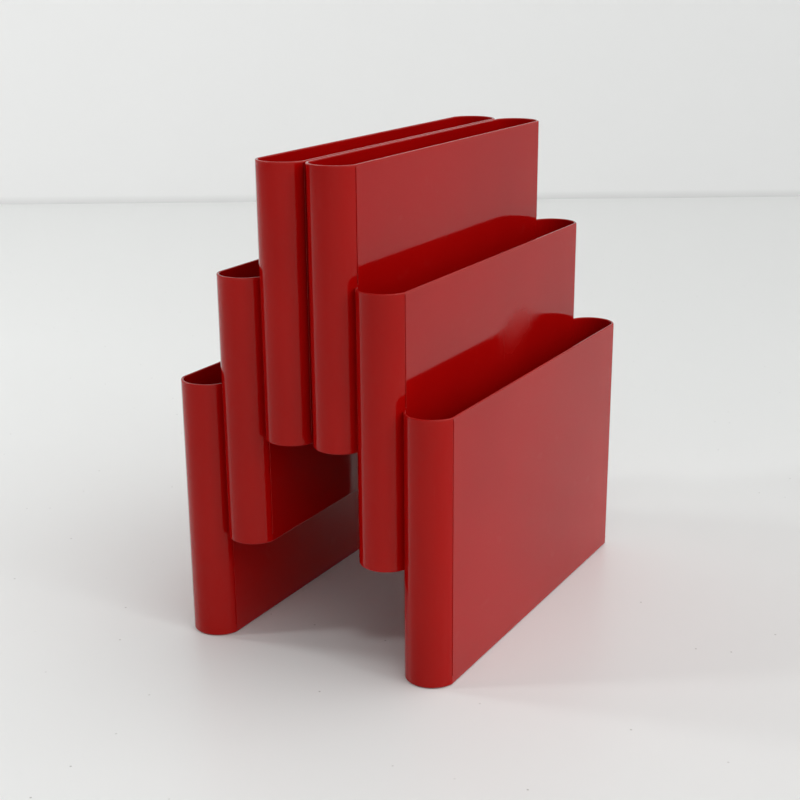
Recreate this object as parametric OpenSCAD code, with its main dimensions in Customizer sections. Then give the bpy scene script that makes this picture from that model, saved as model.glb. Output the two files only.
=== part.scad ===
// Stepped rack for newspapers and magazines.
// Two mouldings stand back to back, and each one has a row of deep pockets that step down from
// the centre to the floor. Neighbouring pockets of a moulding share one wall. Connector bolts
// through the two centre walls, with spacer rings between them, hold the halves together.
// X runs across the pockets, Y along them and Z up. The origin is the centre of the base.

/* [Pockets] */
// Pockets on each side of the centre
pockets = 3; // [2:1:4]
// Clear width of a pocket
pocket_w = 43; // [32:1:60]
// Clear length of a pocket, from one round end to the other
pocket_l = 405; // [320:1:480]
// Height of a pocket, from its underside to its rim
pocket_h = 250; // [180:1:320]
// Drop from one pocket to the next
step_h = 102.5; // [60:0.5:140]

/* [Moulding] */
// Thickness of the walls
wall = 2.5; // [2.1:0.1:4]
// Thickness of the pocket floors
floor_t = 3; // [2:0.1:6]
// Radius round the outside of the bottom edge
edge_r = 2; // [0.5:0.1:4]
// Radius inside, between the floor and the walls
floor_r = 4; // [1:0.5:12]
// Radius on both edges of the rim
rim_r = 1; // [0.3:0.1:1]
// How much more than half the width the round ends' radius is, which leaves a crease at the sides
end_extra = 1; // [0.2:0.2:3]

/* [Joint between the halves] */
// Gap between the two centre walls
centre_gap = 2.4; // [1:0.1:6]
// Distance from the centre to each column of bolts
bolt_y = 110; // [40:1:115]
// Height of the lower row of bolts above the tall pocket's underside
low_row = 50; // [20:1:70]
// Depth of the upper row of bolts below the tall pocket's rim
high_row = 70; // [40:1:90]
// Diameter of the bolt's thread
thread_d = 5; // [3:0.5:6]
// Diameter of the flat heads on the bolts and nuts
head_d = 15; // [12:0.5:20]
// Thickness of the flat heads
head_t = 2; // [1.2:0.1:4]
// Wall of the nut's sleeve round the thread
sleeve_wall = 1.2; // [0.8:0.1:2]
// Width across the flats of the key socket
key_w = 3; // [2:0.5:4]
// Depth of the key socket
key_depth = 1.4; // [0.8:0.1:3]
// Outside diameter of the spacer rings
spacer_d = 18; // [14:0.5:24]

/* [Clearances] */
// Clearance round the sleeve in the walls and the spacer rings
hole_play = 0.2; // [0.1:0.05:0.5]
// Clearance round the thread in the sleeve
thread_play = 0.05; // [0.02:0.01:0.1]
// Space left between the end of the sleeve and the bolt's head
end_play = 0.7; // [0.3:0.1:1]

/* [Hidden] */
$fn = 96;
half_w = pocket_w / 2;
outer_half_w = half_w + wall;
outer_l = pocket_l + 2 * wall;
pitch = pocket_w + wall;
first_x = centre_gap / 2 + outer_half_w;
tall_z = (pockets - 1) * step_h;
clamped = centre_gap + 2 * wall;
sleeve_d = thread_d + 2 * sleeve_wall;
sleeve_l = clamped - end_play;
hole_d = sleeve_d + 2 * hole_play;
head_x = centre_gap / 2 + wall;
bolt_rows = [tall_z + low_row, tall_z + pocket_h - high_row];

// Half of an upright section, with its lower corner rounded
module half_section(r, h, corner) {
    translate([0, corner]) square([r, h - corner]);
    square([r - corner, corner]);
    translate([r - corner, corner]) circle(r = corner);
}

// Half of the outside of a pocket, with the rim's outer edge rounded
module outer_section(r) {
    intersection() {
        half_section(r, pocket_h - rim_r, edge_r);
        square([r, pocket_h]);
    }
    translate([0, pocket_h - rim_r]) square([r - rim_r, rim_r]);
    intersection() {
        translate([r - rim_r, pocket_h - rim_r]) circle(r = rim_r);
        translate([0, pocket_h - rim_r]) square([r, rim_r]);
    }
}

// Half of the hollow of a pocket, which widens at the top to round the rim's inner edge
module hollow_section(r) {
    translate([0, floor_t])
        intersection() {
            half_section(r, pocket_h, floor_r);
            square([r, pocket_h]);
        }
    difference() {
        translate([0, pocket_h - rim_r]) square([r + rim_r, 2 * rim_r]);
        translate([r + rim_r, pocket_h - rim_r]) circle(r = rim_r);
    }
}

// A long block with round ends. Its first child is half the section of its sides, and its
// second child is half the section of its ends, which are turned with the radius end_r.
module round_ended(l, end_r, h) {
    intersection() {
        rotate([90, 0, 0])
            linear_extrude(l + 2 * rim_r, center = true) {
                children(0);
                mirror([1, 0]) children(0);
            }
        union() {
            for (side = [-1, 1])
                translate([0, side * (l / 2 - end_r), 0]) rotate_extrude() children(1);
            translate([-end_r - rim_r, end_r - l / 2, 0])
                cube([2 * (end_r + rim_r), l - 2 * end_r, h]);
        }
    }
}

module pocket() {
    difference() {
        round_ended(outer_l, outer_half_w + end_extra, pocket_h) {
            outer_section(outer_half_w);
            outer_section(outer_half_w + end_extra);
        }
        round_ended(pocket_l, half_w + end_extra, 2 * pocket_h) {
            hollow_section(half_w);
            hollow_section(half_w + end_extra);
        }
    }
}

// Puts its children at every bolt, with their Z along +X and their origin on the centre plane
module at_bolts() {
    for (y = [-bolt_y, bolt_y], z = bolt_rows)
        translate([0, y, z])
            rotate([0, 90, 0]) children();
}

// One moulding: a row of pockets that step down and away from the centre
module tier() {
    color([0.66, 0.05, 0.05])
        difference() {
            union()
                for (i = [0 : pockets - 1])
                    translate([first_x + i * pitch, 0, tall_z - i * step_h]) pocket();
            at_bolts() cylinder(d = hole_d, h = first_x);
        }
}

module right_tier() {
    tier();
}

module left_tier() {
    rotate([0, 0, 180]) tier();
}

// A flat head with a hexagonal key socket in its outer face
module flat_head() {
    difference() {
        cylinder(d = head_d, h = head_t);
        translate([0, 0, head_t - key_depth])
            cylinder(d = key_w / cos(30), h = head_t, $fn = 6);
    }
}

module connector_bolts() {
    color([0.72, 0.73, 0.74])
        at_bolts() {
            translate([0, 0, head_x]) flat_head();
            translate([0, 0, head_x - sleeve_l + end_play])
                cylinder(d = thread_d - 2 * thread_play, h = sleeve_l - end_play);
        }
}

module sleeve_nuts() {
    color([0.72, 0.73, 0.74])
        at_bolts()
            difference() {
                union() {
                    translate([0, 0, -head_x]) mirror([0, 0, 1]) flat_head();
                    translate([0, 0, -head_x]) cylinder(d = sleeve_d, h = sleeve_l);
                }
                translate([0, 0, -head_x]) cylinder(d = thread_d, h = clamped);
            }
}

module spacer_rings() {
    color([0.9, 0.9, 0.86])
        at_bolts()
            translate([0, 0, -centre_gap / 2])
                difference() {
                    cylinder(d = spacer_d, h = centre_gap);
                    translate([0, 0, -centre_gap]) cylinder(d = hole_d, h = 3 * centre_gap);
                }
}

right_tier();
left_tier();
connector_bolts();
sleeve_nuts();
spacer_rings();
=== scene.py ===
import math

import bmesh
import bpy
import numpy as np
from bpy.props import FloatProperty, FloatVectorProperty, IntProperty, PointerProperty
from mathutils import Matrix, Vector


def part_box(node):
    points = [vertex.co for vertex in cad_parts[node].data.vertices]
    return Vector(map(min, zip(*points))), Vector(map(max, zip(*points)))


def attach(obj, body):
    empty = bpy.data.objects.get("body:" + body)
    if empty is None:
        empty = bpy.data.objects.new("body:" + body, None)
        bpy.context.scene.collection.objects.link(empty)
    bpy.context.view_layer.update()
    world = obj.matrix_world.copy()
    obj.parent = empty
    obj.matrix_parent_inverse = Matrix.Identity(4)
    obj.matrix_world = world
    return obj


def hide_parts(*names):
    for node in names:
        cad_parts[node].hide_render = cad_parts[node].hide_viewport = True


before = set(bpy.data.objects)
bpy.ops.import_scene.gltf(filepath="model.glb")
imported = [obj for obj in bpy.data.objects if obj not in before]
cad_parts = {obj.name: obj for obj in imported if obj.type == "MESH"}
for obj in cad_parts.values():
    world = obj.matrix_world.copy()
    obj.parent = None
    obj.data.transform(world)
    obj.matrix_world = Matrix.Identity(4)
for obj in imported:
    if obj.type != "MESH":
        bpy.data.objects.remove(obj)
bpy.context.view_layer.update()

# Stepped rack for newspapers and magazines: two glossy red mouldings back to back, each a row of
# deep pockets that step down to the floor, held together by four connector bolts.

bl_info = {
    "name": "Stepped Magazine Rack",
    "version": (1, 0, 0),
    "blender": (4, 5, 0),
    "location": "View3D > Sidebar > Magazine Rack",
    "description": "Builds a stepped rack for newspapers and magazines, and the room it stands in",
    "category": "Object",
}

MM = 0.001

# Soft light from the room: azimuth and elevation in degrees, sharpness and strength.
ROOM_LIGHTS = (
    (0, 15, 4, 1.0),
    (60, 15, 4, 1.3),
    (300, 15, 4, 1.5),
    (0, 50, 8, 2.0),
    (90, 50, 8, 2.3),
)
# Square lamps: name, azimuth and elevation in degrees, edge, and power in watts. They all stand
# at one distance from the point that they look at.
LAMPS = (
    ("left_lamp", 195, 28, 0.4, 15.0),
    ("front_lamp", 218, 38, 0.3, 12.5),
    ("right_lamp", 348, 30, 0.35, 6.0),
)
LAMP_AIM = (0, 0, 0.2)
LAMP_DISTANCE = 3.0
# The room: edge of the floor and length of the wall, the wall's height, how far the floor lies
# under the rack, and the tone that is seen past the wall's ends.
ROOM_SPAN = 14.0
ROOM_HEIGHT = 5.0
FLOOR_DROP = 0.3 * MM
BEYOND_WALL = (0.82, 0.825, 0.82, 1.0)

FULL_TURN = 2 * math.pi
# Points round a bolt, nut or ring, round a bolt hole, and along a pocket's round end.
ROUND_POINTS = 96
HOLE_POINTS = 48
END_POINTS = 61
# Faces that meet at more than this angle keep a sharp edge.
SHARP_ANGLE = math.radians(12)
# How far a pocket's wall is drawn into its taller neighbour, how far the parting line takes to
# run out at its ends, and how far below a rim its paler edge (partly wear, partly painted
# highlight) fades.
EMBED = 0.05 * MM
SEAM_RUN_OUT = 0.6 * MM
RIM_FADE = 2 * MM
# Chamfers on the fasteners' heads: round the underside, and round the mouth of the key socket.
HEAD_RELIEF = 0.2 * MM
SOCKET_MOUTH = 0.35 * MM


# ---------------------------------------------------------------- sizes and colours

class RackSizes(bpy.types.PropertyGroup):
    """Sizes of the two mouldings. Their overall size comes from the frame."""
    pockets: IntProperty(
        name="Pockets a side", description="Pockets on each side of the centre",
        default=3, min=2, max=4)
    pocket_height: FloatProperty(
        name="Pocket height", description="From a pocket's underside to its rim",
        default=250 * MM, unit="LENGTH", precision=4)
    wall: FloatProperty(
        name="Wall", description="Thickness of the walls",
        default=2.5 * MM, unit="LENGTH", precision=5)
    floor: FloatProperty(
        name="Pocket floor", description="Thickness of the pocket floors",
        default=3 * MM, unit="LENGTH", precision=5)
    bottom_edge: FloatProperty(
        name="Bottom edge", description="Radius round the outside of the bottom edge",
        default=2 * MM, unit="LENGTH", precision=5)
    floor_fillet: FloatProperty(
        name="Floor fillet", description="Radius between the pocket floor and the walls",
        default=4 * MM, unit="LENGTH", precision=5)
    rim_radius: FloatProperty(
        name="Rim radius", description="Radius on both edges of the rim",
        default=1 * MM, unit="LENGTH", precision=5)
    end_extra: FloatProperty(
        name="End fullness",
        description="How much more than half the width the round ends' radius is",
        default=1 * MM, unit="LENGTH", precision=5)
    hole: FloatProperty(
        name="Bolt hole", description="Diameter of the holes in the centre walls",
        default=7.8 * MM, unit="LENGTH", precision=5)
    seam_flat: FloatProperty(
        name="Seam on the side", description="Width of the parting line's groove on the flat side",
        default=0.6 * MM, unit="LENGTH", precision=5)
    seam_round: FloatProperty(
        name="Seam on the end", description="Width of the groove's rolled lip on the round end",
        default=1.1 * MM, unit="LENGTH", precision=5)
    seam_depth: FloatProperty(
        name="Seam depth", description="Depth of the mould's parting line",
        default=1.4 * MM, unit="LENGTH", precision=5)
    seam_foot: FloatProperty(
        name="Seam foot", description="Height of the parting line's lower end",
        default=8.5 * MM, unit="LENGTH", precision=5)
    seam_head: FloatProperty(
        name="Seam head", description="Depth of the parting line's upper end below the rim",
        default=1.6 * MM, unit="LENGTH", precision=5)
    nib: FloatProperty(
        name="Nib", description="Width of the small nib where a parting line ends",
        default=1.3 * MM, unit="LENGTH", precision=5)


class FastenerSizes(bpy.types.PropertyGroup):
    """Sizes of the connector bolts, their sleeve nuts and the spacer rings."""
    head: FloatProperty(
        name="Head", description="Diameter of the flat heads",
        default=15 * MM, unit="LENGTH", precision=5)
    head_edge: FloatProperty(
        name="Head edge", description="Radius round the outer edge of the heads",
        default=0.7 * MM, unit="LENGTH", precision=5)
    key: FloatProperty(
        name="Key", description="Width across the flats of the key socket",
        default=3 * MM, unit="LENGTH", precision=5)
    key_depth: FloatProperty(
        name="Key depth", description="Depth of the key socket",
        default=1.4 * MM, unit="LENGTH", precision=5)
    thread: FloatProperty(
        name="Thread", description="Diameter over the bolt's thread",
        default=4.9 * MM, unit="LENGTH", precision=5)
    thread_rise: FloatProperty(
        name="Thread pitch", description="Distance from one turn of the thread to the next",
        default=0.8 * MM, unit="LENGTH", precision=5)
    thread_depth: FloatProperty(
        name="Thread depth", description="Height of the thread's ridge",
        default=0.42 * MM, unit="LENGTH", precision=5)
    sleeve: FloatProperty(
        name="Sleeve", description="Outside diameter of the nut's sleeve",
        default=7.4 * MM, unit="LENGTH", precision=5)
    sleeve_bore: FloatProperty(
        name="Sleeve bore", description="Diameter of the nut's tapped hole",
        default=5 * MM, unit="LENGTH", precision=5)
    chamfer: FloatProperty(
        name="Chamfer", description="Chamfer on the ends of shanks, sleeves and rings",
        default=0.35 * MM, unit="LENGTH", precision=5)


class RackFinish(bpy.types.PropertyGroup):
    """Colours of the finishes, and the spot on one pocket that is rubbed dull."""
    red: FloatVectorProperty(
        name="Red plastic", description="Colour of the mouldings", subtype="COLOR",
        default=(0.322, 0.0012, 0.0012), min=0, max=1)
    rub_place: FloatVectorProperty(
        name="Rubbed spot", description="Place along Y and Z of the spot that is rubbed dull",
        size=2, default=(0.040, 0.270), precision=4)
    rub_size: FloatVectorProperty(
        name="Spot size", description="Half width along Y and Z of the rubbed spot",
        size=2, default=(0.066, 0.036), precision=4)
    rub_tilt: FloatProperty(
        name="Spot tilt", description="Turn of the rubbed spot about X",
        default=math.radians(18), unit="ROTATION")
    zinc: FloatVectorProperty(
        name="Zinc plate", description="Colour of the bolts and nuts", subtype="COLOR",
        default=(0.62, 0.63, 0.65), min=0, max=1)
    nylon: FloatVectorProperty(
        name="Nylon", description="Colour of the spacer rings", subtype="COLOR",
        default=(0.78, 0.76, 0.68), min=0, max=1)
    floor_paint: FloatVectorProperty(
        name="Floor", description="Colour of the painted floor", subtype="COLOR",
        default=(0.79, 0.8, 0.79), min=0, max=1)
    wall_paint: FloatVectorProperty(
        name="Back wall", description="Colour of the painted wall", subtype="COLOR",
        default=(0.82, 0.825, 0.82), min=0, max=1)


class RoomSetup(bpy.types.PropertyGroup):
    """The room, the lamps and the camera."""
    azimuth: FloatProperty(
        name="Camera azimuth", description="How far the camera stands round towards +X",
        default=0.48727, unit="ROTATION")
    elevation: FloatProperty(
        name="Camera elevation", description="How far the camera looks down",
        default=0.32532, unit="ROTATION")
    roll: FloatProperty(
        name="Camera roll", description="Turn about the line of sight",
        default=-0.00253, unit="ROTATION")
    camera_place: FloatVectorProperty(
        name="Camera place", description="Where the camera stands", subtype="TRANSLATION",
        unit="LENGTH", default=(0.66851, -1.23939, 0.61887))
    focal_length: FloatProperty(
        name="Focal length", description="Focal length of the lens, in millimetres",
        default=66.141, min=10, max=300)
    shift: FloatVectorProperty(
        name="Shift", description="Sideways and upward shift of the lens", size=2,
        default=(-0.02865, 0.0623))
    wall_distance: FloatProperty(
        name="Back wall distance", description="From the rack's centre to the back wall",
        default=2.5, unit="LENGTH")
    wall_turn: FloatProperty(
        name="Back wall turn", description="How far the back wall is turned from the X axis",
        default=math.radians(30.65), unit="ROTATION")
    lamp_power: FloatProperty(
        name="Lamps", description="Factor on the power of all the lamps",
        default=1.0, min=0)
    sky_strength: FloatProperty(
        name="Even light", description="Strength of even light from all round",
        default=0.0, min=0)


def rack_layout():
    """Places that follow from the frame: the moulding's box gives its gap, length and pitch."""
    sizes = bpy.context.scene.rack_sizes
    low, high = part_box("right_tier")
    wall, pockets = float(sizes.wall), sizes.pockets
    pitch = (round(high[0] - low[0], 4) - wall) / pockets
    height = round(high[2] - low[2], 4)
    drop = (height - float(sizes.pocket_height)) / (pockets - 1)
    return {
        "gap": 2 * round(low[0], 4),
        "length": round(high[1] - low[1], 3),
        "pitch": pitch,
        "half": (pitch + wall) / 2,
        "drop": drop,
        "centres": round(low[0], 4) + (pitch + wall) / 2 + pitch * np.arange(pockets),
        "bases": drop * np.arange(pockets)[::-1],
    }


# ---------------------------------------------------------------- mesh tools

def ring_quads(rows, cols):
    """Quads between neighbouring rings of a grid whose columns close up on themselves."""
    i, j = np.meshgrid(np.arange(rows - 1), np.arange(cols), indexing="ij")
    k = (j + 1) % cols
    quads = (i * cols + j, i * cols + k, (i + 1) * cols + k, (i + 1) * cols + j)
    return np.stack(quads, -1).reshape(-1, 4)


def closed_mesh(name, grids):
    """Mesh of closed skins. Each grid is an array of rings of points, whose first and last ring
    close on a line or a point. Doubles are merged there and the faces turned outwards."""
    points, quads, start = [], [], 0
    for grid in grids:
        rows, cols = grid.shape[:2]
        points.append(grid.reshape(-1, 3))
        quads.append(ring_quads(rows, cols) + start)
        start += rows * cols
    mesh = bpy.data.meshes.new(name)
    mesh.from_pydata(np.concatenate(points).tolist(), [], np.concatenate(quads).tolist())
    work = bmesh.new()
    work.from_mesh(mesh)
    bmesh.ops.remove_doubles(work, verts=work.verts, dist=1e-7)
    bmesh.ops.dissolve_degenerate(work, edges=work.edges, dist=1e-7)
    bmesh.ops.recalc_face_normals(work, faces=work.faces)
    work.to_mesh(mesh)
    work.free()
    return mesh


def add_object(name, mesh):
    """Object at the origin, linked into the scene."""
    piece = bpy.data.objects.new(name, mesh)
    bpy.context.scene.collection.objects.link(piece)
    return piece


def baked_mesh(piece):
    """The piece's mesh with its modifiers applied."""
    graph = bpy.context.evaluated_depsgraph_get()
    mesh = bpy.data.meshes.new_from_object(piece.evaluated_get(graph))
    piece.modifiers.clear()
    return mesh


def cut_or_join(piece, operation, others):
    """Applies Booleans of closed meshes to the piece, and deletes the other objects."""
    for other in others:
        step = piece.modifiers.new(operation.title(), "BOOLEAN")
        step.operation = operation
        step.solver = "MANIFOLD"
        step.object = other
    piece.data = baked_mesh(piece)
    for other in others:
        bpy.data.objects.remove(other)


def smooth_faces(piece):
    """Smooth shading with sharp creases, and normals that lean to the larger faces, so that the
    flats stay flat next to their rounded edges."""
    mesh = piece.data
    mesh.shade_smooth()
    mesh.set_sharp_from_angle(angle=SHARP_ANGLE)
    weights = piece.modifiers.new("Flat Normals", "WEIGHTED_NORMAL")
    weights.keep_sharp = True
    weights.weight = 100
    piece.data = baked_mesh(piece)


def arc_steps(count):
    """Angles of a quarter turn in equal steps, both ends included."""
    return np.linspace(0, math.pi / 2, count + 1)


# ---------------------------------------------------------------- mouldings

def outline_of_pocket(inset, reach, along, end, half, end_centre, end_radius):
    """Outline of a pocket, inset by an amount that may differ from point to point.

    Along a side, x is half the width less the inset, and y runs in step with along, from -1 to 1,
    between the two creases. Round an end, the point lies on a circle about the end centre with
    the end radius less the inset, and end goes from -1 to 1 between the creases. A crease is
    where that circle meets the side, at the angle whose cosine is the one over the other.
    reach is +1 for the side on +X, -1 for the side on -X, and 0 round an end, where along is +1
    for the end on +Y and -1 for the other.
    """
    flat = half - inset
    radius = end_radius - inset
    crease = np.arccos(np.clip(flat / radius, 0, 1))
    crease_y = end_centre + radius * np.sin(crease)
    turn = (math.pi / 2 - crease) * end
    on_side = reach != 0
    x = np.where(on_side, reach * flat, radius * np.sin(turn))
    y = np.where(on_side, along * crease_y, along * (end_centre + radius * np.cos(turn)))
    return x, y


def outline_points(sizes, layout):
    """Where the points of the outline lie, as outline_of_pocket wants them, how far each is from
    its crease, in metres, and which side of the pocket it is on, -1 or +1 along X."""
    half, radius = layout["half"], layout["half"] + float(sizes.end_extra)
    crease = math.acos(half / radius)
    end_centre = layout["length"] / 2 - radius
    crease_y = end_centre + radius * math.sin(crease)
    arc = radius * (math.pi / 2 - crease)
    lip = float(sizes.seam_round) * np.array([0, 0.25, 0.5, 0.75, 1])
    side = crease_y - np.array([0, float(sizes.seam_flat)] + [
        step * MM for step in (3, 6, 12, 25, 50, 100)])
    side = np.concatenate((-side, [0], side[::-1])) / crease_y
    end = arc - lip
    clear = arc - 2 * float(sizes.seam_round)
    end = np.concatenate((end, np.linspace(clear, -clear, END_POINTS), -end[::-1])) / arc
    on_side, on_end = np.ones_like(side), np.ones_like(end)
    reach = np.concatenate((on_side, 0 * on_end, -on_side, 0 * on_end))
    along = np.concatenate((side, on_end, -side, -on_end))
    turn = np.concatenate((0 * side, end, 0 * side, -end))
    to_crease = np.concatenate([crease_y * (1 - abs(side)), arc * (1 - abs(end))] * 2)
    towards = np.sign(np.where(reach == 0, turn, reach))
    return reach, along, turn, to_crease, towards


def section_of_wall(sizes, layout, marks):
    """Section of a pocket's wall, as an inset from the outside and a height, from the middle of
    the underside round the bottom edge, up the wall, over the rim, down inside and along the
    floor to its middle. Rings half a millimetre or one from each rounding keep the flats flat.
    marks are extra heights on the outside."""
    half, height, wall = layout["half"], float(sizes.pocket_height), float(sizes.wall)
    floor, edge, rim = float(sizes.floor), float(sizes.bottom_edge), float(sizes.rim_radius)
    fillet = float(sizes.floor_fillet)
    a = arc_steps(10)
    under = np.array([[half, 0], [half / 2, 0], [edge + 0.5 * MM, 0]])
    bottom = np.stack((edge - edge * np.sin(a), edge - edge * np.cos(a)), 1)
    outside = np.stack((0 * marks, marks), 1)
    rim_out = np.stack((rim - rim * np.cos(a), height - rim + rim * np.sin(a)), 1)
    rim_in = np.stack((wall - rim + rim * np.sin(a), height - rim + rim * np.cos(a)), 1)
    inside_z = np.array([height - rim - 1 * MM, height / 2, floor + fillet + 1 * MM])
    inside = np.stack((0 * inside_z + wall, inside_z), 1)
    corner = wall + fillet - fillet * np.cos(a)
    foot = np.stack((corner, floor + fillet - fillet * np.sin(a)), 1)
    top = np.array([[wall + fillet + 0.5 * MM, floor], [half / 2 + wall, floor], [half, floor]])
    return np.concatenate((under, bottom, outside, rim_out, rim_in, inside, foot, top))


def pocket_skin(sizes, layout, index):
    """Closed skin of one pocket: the wall's section carried round the pocket's outline.

    The inset of each point is that of the section, plus the parting line's groove, which is
    deepest on the crease. It rises in a straight slope on the flat side, and on the round end as
    the square of the distance left to the edge of its lip, between the seam's foot and head. On
    the side of a taller neighbour both faces of the wall are drawn a hair into it, in proportion
    to x, so that the neighbour's own wall covers them.
    """
    last = index == sizes.pockets - 1
    height, drop = float(sizes.pocket_height), layout["drop"]
    foot, head = float(sizes.seam_foot), height - float(sizes.seam_head)
    run_out = SEAM_RUN_OUT
    outer_foot = foot if last else height - drop + 2 * MM
    inner_head = head if index == 0 else drop - 5 * MM
    marks = np.sort([outer_foot, outer_foot + run_out, head - run_out, head, height / 2.1]
                    + ([foot, foot + run_out] if not last else [])
                    + ([inner_head - run_out, inner_head] if index else []))
    section = section_of_wall(sizes, layout, marks)
    reach, along, turn, to_crease, towards = outline_points(sizes, layout)
    inset, z = section[:, :1], section[:, 1:]
    over_rim = section[:, 0] > 0
    outside = (~over_rim & (z[:, 0] > float(sizes.bottom_edge)))[:, None]
    across = np.where(reach != 0, np.clip(1 - to_crease / float(sizes.seam_flat), 0, 1),
                      np.clip(1 - to_crease / float(sizes.seam_round), 0, 1) ** 2)
    low = np.where(towards > 0, outer_foot, foot)
    high = np.where(towards > 0, head, inner_head)
    up = np.clip((z - low) / run_out, 0, 1) * np.clip((high - z) / run_out, 0, 1)
    groove = float(sizes.seam_depth) * across * up * outside
    end_radius = layout["half"] + float(sizes.end_extra)
    x, y = outline_of_pocket(
        inset + groove, reach, along, turn, layout["half"],
        layout["length"] / 2 - end_radius, end_radius)
    if index:
        wall = float(sizes.wall)
        embed = EMBED * np.clip(1 - 2 * inset / wall, -1, 1)
        embed = np.where((z < height / 2) & (inset > wall - 1e-9), -EMBED, embed)
        embed = np.where(z < 0.9 * float(sizes.bottom_edge), EMBED, embed)
        x = np.where(x < 0, x - embed * x / layout["half"], x)
    z = np.broadcast_to(z, x.shape)
    return np.stack((x + layout["centres"][index], y, z + layout["bases"][index]), -1)


def nib_skins(sizes, layout):
    """Small nibs where the parting lines end: balls on the creases, each a grid of latitude and
    longitude, sunk a little into the side and flattened along X to seven tenths."""
    radius = float(sizes.nib) / 2
    latitude = np.linspace(-math.pi / 2, math.pi / 2, 9)[:, None]
    longitude = np.linspace(0, FULL_TURN, 16, endpoint=False)[None, :]
    ball = np.stack(np.broadcast_arrays(
        np.cos(latitude) * np.cos(longitude), np.cos(latitude) * np.sin(longitude),
        np.sin(latitude)), -1) * radius
    half, end_radius = layout["half"], layout["half"] + float(sizes.end_extra)
    crease = math.acos(half / end_radius)
    crease_y = layout["length"] / 2 - end_radius + end_radius * math.sin(crease)
    skins = []
    for index, (centre, base) in enumerate(zip(layout["centres"], layout["bases"])):
        last = index == sizes.pockets - 1
        for side in ((-1, 1) if last else (-1,)):
            for end in (-1, 1):
                place = (centre + side * (half - 0.2 * MM), end * crease_y,
                         base + float(sizes.seam_foot))
                skins.append(ball * (0.7, 1, 1) + place)
    return skins


def bolt_hole_skins(sizes, layout, rows, columns):
    """Closed cylinders through the centre wall, from 2 mm before its face to 6 mm past it: a
    circle carried along X and closed at its ends."""
    radius = float(sizes.hole) / 2
    angle = np.linspace(0, FULL_TURN, HOLE_POINTS, endpoint=False)[None, :]
    reach = np.array([0, 1, 1, 0])[:, None] * radius
    x = np.array([-2, -2, 6, 6])[:, None] * MM + layout["gap"] / 2 + 0 * angle
    circle = np.stack((x, reach * np.cos(angle), reach * np.sin(angle)), -1)
    return [circle + (0, y, z) for y in columns for z in rows]


def bolt_rows_and_columns():
    """Heights and Y places of the bolts, from the box of their heads in the frame."""
    fasteners = bpy.context.scene.fastener_sizes
    low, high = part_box("connector_bolts")
    head = float(fasteners.head) / 2
    rows = (round(low[2] + head, 4), round(high[2] - head, 4))
    columns = (round(low[1] + head, 4), round(high[1] - head, 4))
    return rows, columns


def mark_rims(mesh, sizes, layout, side):
    """Stores how near each point is to a rim: 1 at its top, fading downwards. The red plastic
    uses it to paint the rims paler, partly as wear and partly as a painted highlight.
    """
    count = len(mesh.vertices)
    place = np.empty(count * 3)
    mesh.vertices.foreach_get("co", place)
    x, _, z = place.reshape(-1, 3).T
    x = x * side
    half, wall = layout["half"], float(sizes.wall)
    rims = layout["bases"] + float(sizes.pocket_height)
    near = np.zeros(count)
    for index, (centre, rim) in enumerate(zip(layout["centres"], rims)):
        clear = x > centre - half + (1.5 * wall if index else -wall)
        near = np.maximum(near, np.clip(1 - (rim - z) / RIM_FADE, 0, 1) * (z < rim + MM) * clear)
    rim_edge = mesh.attributes.new("rim_edge", "FLOAT", "POINT")
    rim_edge.data.foreach_set("value", near)


def build_moulding(name, node, side):
    """One moulding: pocket skins joined into one solid, with its bolt holes cut. The moulding on
    -X is the same one turned half round."""
    sizes, layout = bpy.context.scene.rack_sizes, rack_layout()
    rows, columns = bolt_rows_and_columns()
    turned = np.array((side, side, 1.0))
    pockets = [
        add_object(f"{name}_pocket", closed_mesh(name, [pocket_skin(sizes, layout, i) * turned]))
        for i in range(sizes.pockets)]
    nibs = add_object("nibs", closed_mesh("nibs", [s * turned for s in nib_skins(sizes, layout)]))
    holes = add_object("holes", closed_mesh(
        "holes", [s * turned for s in bolt_hole_skins(sizes, layout, rows, columns)]))
    piece = pockets[0]
    cut_or_join(piece, "UNION", pockets[1:] + [nibs])
    cut_or_join(piece, "DIFFERENCE", [holes])
    smooth_faces(piece)
    mark_rims(piece.data, sizes, layout, side)
    piece.name = name
    piece.data.name = name
    piece.data.materials.clear()
    piece.data.materials.append(red_plastic())
    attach(piece, "root")
    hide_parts(node)


# ---------------------------------------------------------------- fasteners

def turned_skin(profile, across_flats=0.0, ridge=0.0, rise=1.0):
    """Skin turned about the X axis. Each row of the profile is a place along X, a radius, and a
    share of the shape's own pattern: a share from 0 to 1 of the hexagon, whose radius is half
    its width across the flats over the cosine of the angle from the nearest flat's middle, or
    minus a share from 0 to 1 of the thread, a ridge that climbs one rise for each turn."""
    x, radius, share = np.asarray(profile, float).T[:, :, None]
    angle = np.linspace(0, FULL_TURN, ROUND_POINTS, endpoint=False)[None, :]
    sixth = FULL_TURN / 6
    from_flat = (angle + sixth / 2) % sixth - sixth / 2
    hexagon = across_flats / 2 / np.cos(from_flat)
    wave = abs(((x / rise - angle / FULL_TURN) % 1) * 2 - 1)
    crest = np.clip(wave * 1.3 - 0.15, 0, 1)
    r = np.where(share > 0, radius + (hexagon - radius) * share, radius + ridge * share * crest)
    x = x + 0 * angle
    return np.stack((x, r * np.cos(angle), r * np.sin(angle)), -1)


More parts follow.
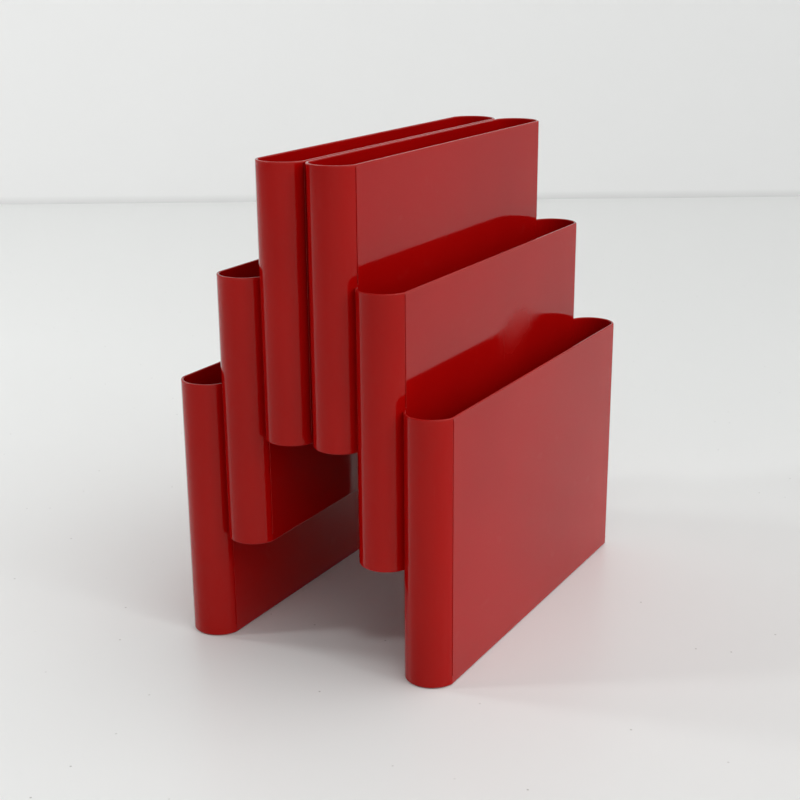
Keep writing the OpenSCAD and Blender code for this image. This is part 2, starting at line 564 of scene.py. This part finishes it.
def head_profile(sizes, inner, outer):
    """Profile of a flat head from the middle of its key socket to its underside, between two
    places along X: socket floor, socket, mouth, flat face, the rounded edge, the underside."""
    out = 1 if outer > inner else -1
    radius, edge = float(sizes.head) / 2, float(sizes.head_edge)
    key, depth = float(sizes.key) / 2, float(sizes.key_depth)
    mouth = key / math.cos(math.pi / 6) + SOCKET_MOUTH
    a = arc_steps(8)
    socket = [(outer - out * depth, 0, 0), (outer - out * depth, key, 1),
              (outer - out * SOCKET_MOUTH, key, 1), (outer, mouth, 0)]
    face = [(outer, mouth + 0.6 * MM, 0), (outer, radius - edge, 0)]
    rounded = np.stack((outer - out * edge * (1 - np.cos(a)),
                        radius - edge + edge * np.sin(a), 0 * a), 1).tolist()
    under = [(inner + out * HEAD_RELIEF, radius, 0), (inner, radius - HEAD_RELIEF, 0)]
    return socket + face + rounded[1:] + under


def bolt_profile(sizes, head_x, top_x, end_x):
    """Profile of a bolt: its head, the threaded shank with a chamfered end, and the end face."""
    r, rise, depth = float(sizes.thread) / 2, float(sizes.thread_rise), float(sizes.thread_depth)
    chamfer = float(sizes.chamfer)
    start, stop = head_x - 0.5 * MM, end_x + chamfer
    along = np.arange(start, stop, -rise / 10)
    fade = np.clip((start - along) / rise, 0, 1) * np.clip((along - stop) / rise, 0, 1)
    shank = np.stack((along, 0 * along + r, -fade), 1).tolist()
    neck = [(head_x, r + 0.3 * MM, 0), (head_x - 0.3 * MM, r, 0)]
    tip = [(end_x + chamfer, r, 0), (end_x, r - depth, 0), (end_x, 0, 0)]
    return head_profile(sizes, head_x, top_x) + neck + shank + tip


def nut_profile(sizes, head_x, top_x, end_x):
    """Profile of a sleeve nut: its head, the sleeve, its chamfered mouth and the tapped hole."""
    r, bore = float(sizes.sleeve) / 2, float(sizes.sleeve_bore) / 2
    rise, chamfer = float(sizes.thread_rise), float(sizes.chamfer)
    start, stop = end_x - chamfer - 0.2 * MM, head_x + 0.2 * MM
    along = np.arange(start, stop, -rise / 10)
    fade = np.clip((start - along) / rise, 0, 1) * np.clip((along - stop) / rise, 0, 1)
    outside = [(head_x, r + 0.25 * MM, 0), (head_x + 0.25 * MM, r, 0), (end_x - chamfer, r, 0),
               (end_x, r - chamfer, 0), (end_x, bore + chamfer, 0), (end_x - chamfer, bore, 0)]
    tapped = np.stack((along, 0 * along + bore, -fade), 1).tolist()
    return head_profile(sizes, head_x, top_x) + outside + tapped + [
        (head_x, bore, 0), (head_x, 0, 0)]


def ring_profile(sizes, inner, outer, near, far):
    """Profile of a spacer ring, chamfered on all four edges, which closes on itself."""
    c = float(sizes.chamfer)
    return [(near, inner + c, 0), (near, outer - c, 0), (near + c, outer, 0), (far - c, outer, 0),
            (far, outer - c, 0), (far, inner + c, 0), (far - c, inner, 0), (near + c, inner, 0),
            (near, inner + c, 0)]


def build_fasteners(name, node, skin, finish):
    """One skin repeated at every bolt, in one piece."""
    rows, columns = bolt_rows_and_columns()
    skins = [skin + (0, y, z) for y in columns for z in rows]
    piece = add_object(name, closed_mesh(name, skins))
    smooth_faces(piece)
    piece.data.materials.clear()
    piece.data.materials.append(finish)
    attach(piece, "root")
    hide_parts(node)


# ---------------------------------------------------------------- finishes

def add_node(tree, kind, values=None, **settings):
    """A node with its settings, and values for some of its inputs."""
    node = tree.nodes.new(kind)
    for key, value in settings.items():
        setattr(node, key, value)
    for key, value in (values or {}).items():
        node.inputs[key].default_value = value
    return node


def blank_material(name):
    """A material with an empty node tree, its Principled shader and its output."""
    material = bpy.data.materials.new(name)
    material.use_nodes = True
    tree = material.node_tree
    tree.nodes.clear()
    shader = add_node(tree, "ShaderNodeBsdfPrincipled")
    output = add_node(tree, "ShaderNodeOutputMaterial")
    tree.links.new(shader.outputs["BSDF"], output.inputs["Surface"])
    return material, tree, shader


def noise(tree, coords, scale, detail=2.0, roughness=0.5):
    """Noise on the given coordinates. Its factor is the output."""
    node = add_node(tree, "ShaderNodeTexNoise",
                    {"Scale": scale, "Detail": detail, "Roughness": roughness})
    tree.links.new(coords, node.inputs["Vector"])
    return node.outputs["Fac"]


def remap(tree, value, low, high, to_low, to_high):
    """Maps low..high of a value onto to_low..to_high, clamped."""
    node = add_node(tree, "ShaderNodeMapRange", {
        "From Min": low, "From Max": high, "To Min": to_low, "To Max": to_high})
    tree.links.new(value, node.inputs["Value"])
    return node.outputs["Result"]


def maths(tree, operation, a, b):
    """One sum of two values, each a socket or a number."""
    node = add_node(tree, "ShaderNodeMath", operation=operation)
    for socket, value in zip(node.inputs, (a, b)):
        if isinstance(value, (int, float)):
            socket.default_value = value
        else:
            tree.links.new(value, socket)
    return node.outputs["Value"]


def blend_colours(tree, factor, a, b):
    """Mixes two colours, each a socket or a tuple, by a factor. The Mix node's sockets for
    colour are its inputs 6 and 7 and its output 2."""
    node = add_node(tree, "ShaderNodeMix", data_type="RGBA")
    for socket, value in zip((node.inputs[0], node.inputs[6], node.inputs[7]), (factor, a, b)):
        if isinstance(value, (int, float)):
            socket.default_value = value
        elif isinstance(value, (tuple, list)):
            socket.default_value = (*value[:3], 1)
        else:
            tree.links.new(value, socket)
    return node.outputs[2]


def new_group(name, inputs, outputs):
    """An empty shader node group with named inputs and outputs, and its two end nodes."""
    group = bpy.data.node_groups.new(name, "ShaderNodeTree")
    for label, kind, value in inputs:
        socket = group.interface.new_socket(label, in_out="INPUT", socket_type=kind)
        if value is not None:
            socket.default_value = value
    for label, kind in outputs:
        group.interface.new_socket(label, in_out="OUTPUT", socket_type=kind)
    return group, group.nodes.new("NodeGroupInput"), group.nodes.new("NodeGroupOutput")


def handling_marks():
    """Group: what years of handling leave on a smooth surface. Smudge is broad patches where the
    gloss is duller, Scratch is a mask of fine hairlines in two directions, and Dust is a mask
    that is strongest on faces that look up. Scale 1 suits an object of half a metre."""
    name = "Handling Marks"
    if name in bpy.data.node_groups:
        return bpy.data.node_groups[name]
    group, start, end = new_group(
        name,
        [("Vector", "NodeSocketVector", None), ("Scale", "NodeSocketFloat", 1.0)],
        [("Smudge", "NodeSocketFloat"), ("Scratch", "NodeSocketFloat"),
         ("Dust", "NodeSocketFloat")])
    scaled = add_node(group, "ShaderNodeVectorMath", operation="SCALE")
    group.links.new(start.outputs["Vector"], scaled.inputs[0])
    group.links.new(start.outputs["Scale"], scaled.inputs["Scale"])
    coords = scaled.outputs["Vector"]
    broad = remap(group, noise(group, coords, 9.0, 3.0, 0.55), 0.38, 0.66, 0, 1)
    fine = remap(group, noise(group, coords, 46.0, 3.0, 0.6), 0.42, 0.7, 0, 1)
    smudge = maths(group, "ADD", maths(group, "MULTIPLY", broad, 0.7),
                   maths(group, "MULTIPLY", fine, 0.3))
    hairlines = None
    for turn, stretch in ((0.35, (14, 210, 7)), (-0.6, (260, 9, 12))):
        turned = add_node(group, "ShaderNodeMapping",
                          {"Rotation": (turn, 0.2, turn), "Scale": stretch})
        group.links.new(coords, turned.inputs["Vector"])
        line = remap(group, noise(group, turned.outputs["Vector"], 5.0, 1.0), 0.7, 0.78, 0, 1)
        hairlines = line if hairlines is None else maths(group, "MAXIMUM", hairlines, line)
    facing = add_node(group, "ShaderNodeNewGeometry")
    upright = add_node(group, "ShaderNodeSeparateXYZ")
    group.links.new(facing.outputs["Normal"], upright.inputs["Vector"])
    up = remap(group, upright.outputs["Z"], 0.3, 1.0, 0.08, 1.0)
    specks = remap(group, noise(group, coords, 420.0, 2.0, 0.7), 0.55, 0.75, 0, 1)
    dust = maths(group, "MULTIPLY", up, specks)
    group.links.new(smudge, end.inputs["Smudge"])
    group.links.new(hairlines, end.inputs["Scratch"])
    group.links.new(dust, end.inputs["Dust"])
    return group


def place_marks(tree, scale=1.0):
    """The handling marks on Object coordinates, placed in a material's tree."""
    coords = add_node(tree, "ShaderNodeTexCoord").outputs["Object"]
    marks = add_node(tree, "ShaderNodeGroup", node_tree=handling_marks())
    marks.inputs["Scale"].default_value = scale
    tree.links.new(coords, marks.inputs["Vector"])
    return coords, marks


def add_bump(tree, shader, height, distance):
    """Bump from a height, into the shader's normal."""
    bump = add_node(tree, "ShaderNodeBump", {"Strength": 1.0, "Distance": distance})
    tree.links.new(height, bump.inputs["Height"])
    tree.links.new(bump.outputs["Normal"], shader.inputs["Normal"])


def rubbed_spot(tree, coords):
    """Mask of the place on the middle pocket's outer face where the gloss is rubbed dull: an oval
    that fades from its middle to its half widths, with a slightly ragged edge."""
    finish, layout = bpy.context.scene.rack_finish, rack_layout()
    face = layout["centres"][1] + layout["half"]
    oval = add_node(tree, "ShaderNodeMapping", {
        "Location": (face, *finish.rub_place), "Rotation": (finish.rub_tilt, 0, 0),
        "Scale": (finish.rub_size[1], *finish.rub_size)}, vector_type="TEXTURE")
    tree.links.new(coords, oval.inputs["Vector"])
    away = add_node(tree, "ShaderNodeVectorMath", operation="LENGTH")
    tree.links.new(oval.outputs["Vector"], away.inputs[0])
    ragged = remap(tree, noise(tree, coords, 45.0, 2.0, 0.5), 0.3, 0.7, 0.85, 1.15)
    return remap(tree, maths(tree, "MULTIPLY", away.outputs["Value"], ragged), 1.0, 0.0, 0, 1)


def red_plastic():
    """Polished moulded plastic: a deep even red with faint clouds in it, a glossy skin that is
    duller in smudges, a trace of orange peel, hairline scratches, and rims painted paler, partly
    as wear and partly as a painted highlight."""
    name = "Red Plastic"
    if name in bpy.data.materials:
        return bpy.data.materials[name]
    red = tuple(bpy.context.scene.rack_finish.red)
    material, tree, shader = blank_material(name)
    coords, marks = place_marks(tree)
    smudge, scratch = marks.outputs["Smudge"], marks.outputs["Scratch"]
    clouds = noise(tree, coords, 5.0, 2.0)
    deep = tuple(0.93 * c for c in red)
    warm = (min(1, red[0] * 1.07), red[1] * 1.5, red[2] * 1.3)
    colour = blend_colours(tree, remap(tree, clouds, 0.35, 0.65, 0, 1), deep, warm)
    rim = add_node(tree, "ShaderNodeAttribute", attribute_name="rim_edge").outputs["Fac"]
    # Rims painted paler: partly wear, partly a painted highlight on their rounded edges.
    rim_wear_and_highlight = maths(tree, "MULTIPLY", rim, remap(tree, smudge, 0.0, 0.8, 0.02, 0.1))
    colour = blend_colours(tree, rim_wear_and_highlight, colour, (0.62, 0.13, 0.11))
    colour = blend_colours(tree, maths(tree, "MULTIPLY", scratch, 0.015), colour,
                           (0.6, 0.2, 0.18))
    colour = blend_colours(tree, maths(tree, "MULTIPLY", marks.outputs["Dust"], 0.03), colour,
                           (0.6, 0.5, 0.48))
    tree.links.new(colour, shader.inputs["Base Color"])
    gloss = remap(tree, smudge, 0.0, 1.0, 0.045, 0.085)
    gloss = maths(tree, "ADD", gloss, maths(tree, "MULTIPLY", scratch, 0.05))
    gloss = maths(tree, "ADD", gloss, maths(tree, "MULTIPLY", rim, 0.05))
    gloss = maths(tree, "ADD", gloss, maths(tree, "MULTIPLY", rubbed_spot(tree, coords), 0.4))
    tree.links.new(gloss, shader.inputs["Roughness"])
    shader.inputs["IOR"].default_value = 1.272
    shader.inputs["Specular Tint"].default_value = (1.0, 0.99, 0.86, 1.0)
    peel = maths(tree, "ADD", noise(tree, coords, 260.0, 1.0),
                 maths(tree, "MULTIPLY", noise(tree, coords, 24.0, 1.0), 5.0))
    height = maths(tree, "SUBTRACT", peel, maths(tree, "MULTIPLY", scratch, 0.2))
    add_bump(tree, shader, height, 0.004 * MM)
    return material


def zinc_plate():
    """Zinc-plated steel: bright, faintly blue and yellow in patches, with turning marks."""
    name = "Zinc Plate"
    if name in bpy.data.materials:
        return bpy.data.materials[name]
    zinc = tuple(bpy.context.scene.rack_finish.zinc)
    material, tree, shader = blank_material(name)
    coords, marks = place_marks(tree, 6.0)
    tint = remap(tree, noise(tree, coords, 60.0, 2.0), 0.35, 0.65, 0, 1)
    cool = (zinc[0] * 0.94, zinc[1] * 0.98, zinc[2] * 1.04)
    warm = (zinc[0] * 1.05, zinc[1] * 1.01, zinc[2] * 0.9)
    tree.links.new(blend_colours(tree, tint, cool, warm), shader.inputs["Base Color"])
    gloss = remap(tree, marks.outputs["Smudge"], 0, 1, 0.28, 0.45)
    gloss = maths(tree, "ADD", gloss, maths(tree, "MULTIPLY", marks.outputs["Scratch"], 0.2))
    tree.links.new(gloss, shader.inputs["Roughness"])
    shader.inputs["Metallic"].default_value = 1.0
    add_bump(tree, shader, noise(tree, coords, 1800.0, 2.0), 0.01 * MM)
    return material


def natural_nylon():
    """Natural nylon: a waxy off-white that lets a little light in, drawn here as an opaque
    surface.
    """
    name = "Natural Nylon"
    if name in bpy.data.materials:
        return bpy.data.materials[name]
    nylon = tuple(bpy.context.scene.rack_finish.nylon)
    material, tree, shader = blank_material(name)
    coords, marks = place_marks(tree, 5.0)
    shade = remap(tree, noise(tree, coords, 90.0, 2.0), 0.3, 0.7, 0, 1)
    tree.links.new(blend_colours(tree, shade, tuple(0.92 * c for c in nylon), nylon),
                   shader.inputs["Base Color"])
    tree.links.new(remap(tree, marks.outputs["Smudge"], 0, 1, 0.42, 0.6),
                   shader.inputs["Roughness"])
    add_bump(tree, shader, noise(tree, coords, 1400.0, 2.0), 0.02 * MM)
    return material


def painted_floor():
    """Pale painted floor: faint clouds, scuffs, a few specks of dirt, and a soft sheen."""
    paint = tuple(bpy.context.scene.rack_finish.floor_paint)
    material, tree, shader = blank_material("Painted Floor")
    coords = add_node(tree, "ShaderNodeTexCoord").outputs["Object"]
    clouds = remap(tree, noise(tree, coords, 1.3, 4.0, 0.6), 0.3, 0.7, 0, 1)
    colour = blend_colours(tree, clouds, tuple(0.985 * c for c in paint), paint)
    scuffs = remap(tree, noise(tree, coords, 34.0, 4.0, 0.7), 0.66, 0.8, 0, 0.05)
    colour = blend_colours(tree, scuffs, colour, (0.5, 0.49, 0.47))
    cells = add_node(tree, "ShaderNodeTexVoronoi", {"Scale": 16.0}, voronoi_dimensions="2D")
    tree.links.new(coords, cells.inputs["Vector"])
    chosen = remap(tree, cells.outputs["Color"], 0.6, 0.75, 0, 1)
    specks = maths(tree, "MULTIPLY", chosen, remap(
        tree, cells.outputs["Distance"], 0.01, 0.02, 0.55, 0))
    colour = blend_colours(tree, specks, colour, (0.2, 0.19, 0.17))
    tree.links.new(colour, shader.inputs["Base Color"])
    tree.links.new(remap(tree, clouds, 0, 1, 0.3, 0.38), shader.inputs["Roughness"])
    shader.inputs["IOR"].default_value = 1.4
    add_bump(tree, shader, noise(tree, coords, 60.0, 3.0), 0.03 * MM)
    return material


def painted_wall():
    """Pale painted wall, with painted shade in a soft dark line where it meets the floor."""
    paint = tuple(bpy.context.scene.rack_finish.wall_paint)
    material, tree, shader = blank_material("Painted Wall")
    coords = add_node(tree, "ShaderNodeTexCoord").outputs["Object"]
    clouds = remap(tree, noise(tree, coords, 0.8, 3.0, 0.5), 0.3, 0.7, 0, 1)
    colour = blend_colours(tree, clouds, tuple(0.985 * c for c in paint), paint)
    height = add_node(tree, "ShaderNodeSeparateXYZ")
    tree.links.new(coords, height.inputs["Vector"])
    # Painted shade: the wall darkens towards the floor over its lowest 20 mm.
    painted_corner_shade = remap(tree, height.outputs["Z"], 0, 20 * MM, 0.27, 0)
    colour = blend_colours(tree, painted_corner_shade, colour, (0.3, 0.3, 0.3))
    tree.links.new(colour, shader.inputs["Base Color"])
    shader.inputs["Roughness"].default_value = 0.8
    add_bump(tree, shader, noise(tree, coords, 90.0, 4.0), 0.1 * MM)
    return material


# ---------------------------------------------------------------- room

def flat_grid(name, origin, along, up, steps=8):
    """A flat sheet: origin plus u times along plus v times up, with u and v from 0 to 1."""
    u, v = np.meshgrid(np.linspace(0, 1, steps + 1), np.linspace(0, 1, steps + 1), indexing="ij")
    points = (np.array(origin) + u[..., None] * np.array(along) + v[..., None] * np.array(up))
    i, j = np.meshgrid(np.arange(steps), np.arange(steps), indexing="ij")
    k = i * (steps + 1) + j
    quads = np.stack((k, k + steps + 1, k + steps + 2, k + 1), -1).reshape(-1, 4)
    mesh = bpy.data.meshes.new(name)
    mesh.from_pydata(points.reshape(-1, 3).tolist(), [], quads.tolist())
    return add_object(name, mesh)


def build_floor_and_wall(room):
    """A wide floor just under the rack, and a wall behind, turned from the X axis."""
    span = ROOM_SPAN
    floor = flat_grid("floor", (-span / 2, -span / 2, -FLOOR_DROP), (span, 0, 0), (0, span, 0))
    floor.data.materials.append(painted_floor())
    turn, away = room.wall_turn, room.wall_distance
    along = np.array((math.cos(turn), math.sin(turn), 0))
    foot = away * np.array((-math.sin(turn), math.cos(turn), 0)) - along * span / 2
    wall = flat_grid(
        "back_wall", foot - (0, 0, FLOOR_DROP), along * span, (0, 0, ROOM_HEIGHT))
    wall.data.materials.append(painted_wall())


def direction_to(azimuth, elevation):
    """Unit vector at an azimuth from +X towards +Y and an elevation, both in degrees."""
    azimuth, elevation = math.radians(azimuth), math.radians(elevation)
    return np.array((math.cos(elevation) * math.cos(azimuth),
                     math.cos(elevation) * math.sin(azimuth), math.sin(elevation)))


def add_soft_lamp(name, place, away, size, power):
    """A square area lamp that shines against the direction away."""
    data = bpy.data.lights.new(name, "AREA")
    data.shape = "SQUARE"
    data.size = size
    data.energy = power
    lamp = bpy.data.objects.new(name, data)
    side = np.cross((0, 0, 1), away)
    side /= np.linalg.norm(side)
    turn = np.stack((side, np.cross(away, side), away), 1)
    lamp.matrix_world = Matrix.Translation(tuple(place)) @ Matrix(turn.tolist()).to_4x4()
    bpy.context.scene.collection.objects.link(lamp)


def light_the_room(room):
    """Soft light from several sides of the room, each a lobe whose strength falls as a power of
    the cosine of the angle from its middle, and lamps that give the shadows an edge. What is seen
    past the ends of the wall is a plain pale tone, which sheds no light."""
    world = bpy.data.worlds.new("Room Light")
    world.use_nodes = True
    bpy.context.scene.world = world
    tree = world.node_tree
    tree.nodes.clear()
    coords = add_node(tree, "ShaderNodeTexCoord").outputs["Generated"]
    total = room.sky_strength
    for azimuth, elevation, sharpness, strength in ROOM_LIGHTS:
        towards = add_node(tree, "ShaderNodeVectorMath",
                           {1: direction_to(azimuth, elevation)}, operation="DOT_PRODUCT")
        tree.links.new(coords, towards.inputs[0])
        facing = maths(tree, "MAXIMUM", towards.outputs["Value"], 0.0)
        lobe = maths(tree, "POWER", facing, sharpness)
        total = maths(tree, "ADD", maths(tree, "MULTIPLY", lobe, strength), total)
    sky = add_node(tree, "ShaderNodeBackground")
    tree.links.new(total, sky.inputs["Strength"])
    beyond = add_node(tree, "ShaderNodeBackground", {"Color": BEYOND_WALL})
    rays = add_node(tree, "ShaderNodeLightPath")
    seen = add_node(tree, "ShaderNodeMixShader")
    tree.links.new(rays.outputs["Is Camera Ray"], seen.inputs[0])
    tree.links.new(sky.outputs["Background"], seen.inputs[1])
    tree.links.new(beyond.outputs["Background"], seen.inputs[2])
    output = add_node(tree, "ShaderNodeOutputWorld")
    tree.links.new(seen.outputs["Shader"], output.inputs["Surface"])
    for name, azimuth, elevation, size, power in LAMPS:
        away = direction_to(azimuth, elevation)
        place = np.array(LAMP_AIM) + LAMP_DISTANCE * away
        add_soft_lamp(name, place, away, size, power * room.lamp_power)


def place_camera(room):
    """The camera looks back along the direction given by its azimuth and elevation, and is then
    rolled about it."""
    azimuth, elevation, roll = room.azimuth, room.elevation, room.roll
    back = np.array((math.sin(azimuth) * math.cos(elevation),
                     -math.cos(azimuth) * math.cos(elevation), math.sin(elevation)))
    level = np.cross(-back, (0, 0, 1))
    level /= np.linalg.norm(level)
    upright = np.cross(level, -back)
    right = math.cos(roll) * level + math.sin(roll) * upright
    up = -math.sin(roll) * level + math.cos(roll) * upright
    data = bpy.data.cameras.new("camera")
    data.sensor_width = 36.0
    data.lens = room.focal_length
    data.shift_x, data.shift_y = room.shift
    data.clip_start, data.clip_end = 0.02, 60.0
    camera = bpy.data.objects.new("camera", data)
    turn = Matrix(np.stack((right, up, back), 1).tolist()).to_4x4()
    camera.matrix_world = Matrix.Translation(tuple(room.camera_place)) @ turn
    bpy.context.scene.collection.objects.link(camera)
    bpy.context.scene.camera = camera


# ---------------------------------------------------------------- operators and panel

class RACK_OT_room(bpy.types.Operator):
    """Sets up the floor, the back wall, the light and the camera"""
    bl_idname = "rack.room"
    bl_label = "Set Up Room"

    def execute(self, context):
        room = context.scene.room_setup
        context.scene.view_settings.view_transform = "Standard"
        build_floor_and_wall(room)
        light_the_room(room)
        place_camera(room)
        return {"FINISHED"}


class RACK_OT_mouldings(bpy.types.Operator):
    """Builds the two mouldings with their stepped pockets"""
    bl_idname = "rack.mouldings"
    bl_label = "Build Mouldings"

    def execute(self, context):
        build_moulding("right_moulding", "right_tier", 1)
        build_moulding("left_moulding", "left_tier", -1)
        return {"FINISHED"}


class RACK_OT_bolts(bpy.types.Operator):
    """Builds the connector bolts"""
    bl_idname = "rack.bolts"
    bl_label = "Build Connector Bolts"

    def execute(self, context):
        sizes = context.scene.fastener_sizes
        low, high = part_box("connector_bolts")
        head_x = rack_layout()["gap"] / 2 + float(context.scene.rack_sizes.wall)
        profile = bolt_profile(sizes, head_x, high[0], low[0])
        skin = turned_skin(profile, float(sizes.key), float(sizes.thread_depth),
                           float(sizes.thread_rise))
        build_fasteners("threaded_bolts", "connector_bolts", skin, zinc_plate())
        return {"FINISHED"}


class RACK_OT_nuts(bpy.types.Operator):
    """Builds the sleeve nuts"""
    bl_idname = "rack.nuts"
    bl_label = "Build Sleeve Nuts"

    def execute(self, context):
        sizes = context.scene.fastener_sizes
        low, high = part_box("sleeve_nuts")
        head_x = -rack_layout()["gap"] / 2 - float(context.scene.rack_sizes.wall)
        profile = nut_profile(sizes, head_x, low[0], high[0])
        skin = turned_skin(profile, float(sizes.key), -float(sizes.thread_depth),
                           float(sizes.thread_rise))
        build_fasteners("tapped_nuts", "sleeve_nuts", skin, zinc_plate())
        return {"FINISHED"}


class RACK_OT_rings(bpy.types.Operator):
    """Builds the spacer rings between the mouldings"""
    bl_idname = "rack.rings"
    bl_label = "Build Spacer Rings"

    def execute(self, context):
        rows, _ = bolt_rows_and_columns()
        low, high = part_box("spacer_rings")
        outer = high[2] - rows[1]
        inner = float(context.scene.rack_sizes.hole) / 2
        profile = ring_profile(context.scene.fastener_sizes, inner, outer, low[0], high[0])
        build_fasteners("chamfered_rings", "spacer_rings", turned_skin(profile),
                        natural_nylon())
        return {"FINISHED"}


class RACK_PT_panel(bpy.types.Panel):
    """Lists the steps that build the rack and its room"""
    bl_label = "Magazine Rack"
    bl_idname = "RACK_PT_panel"
    bl_space_type = "VIEW_3D"
    bl_region_type = "UI"
    bl_category = "Magazine Rack"

    def draw(self, context):
        for group in PROPERTY_GROUPS:
            box = self.layout.box()
            settings = getattr(context.scene, group)
            for key in settings.bl_rna.properties.keys():
                if key not in ("rna_type", "name"):
                    box.prop(settings, key)
        for step in STEPS:
            self.layout.operator(step.bl_idname)


PROPERTY_GROUPS = {
    "rack_sizes": RackSizes, "fastener_sizes": FastenerSizes,
    "rack_finish": RackFinish, "room_setup": RoomSetup,
}
STEPS = (RACK_OT_room, RACK_OT_mouldings, RACK_OT_bolts, RACK_OT_nuts, RACK_OT_rings)


def register():
    """Registers the classes and hangs the settings on the scene."""
    for cls in (*PROPERTY_GROUPS.values(), *STEPS, RACK_PT_panel):
        bpy.utils.register_class(cls)
    for key, group in PROPERTY_GROUPS.items():
        setattr(bpy.types.Scene, key, PointerProperty(type=group))


def unregister():
    """Takes the settings off the scene and unregisters the classes."""
    for key in PROPERTY_GROUPS:
        delattr(bpy.types.Scene, key)
    for cls in reversed((*PROPERTY_GROUPS.values(), *STEPS, RACK_PT_panel)):
        bpy.utils.unregister_class(cls)


def main():
    """Builds everything in order."""
    register()
    bpy.ops.rack.room()
    bpy.ops.rack.mouldings()
    bpy.ops.rack.bolts()
    bpy.ops.rack.nuts()
    bpy.ops.rack.rings()


if __name__ == "__main__":
    main()
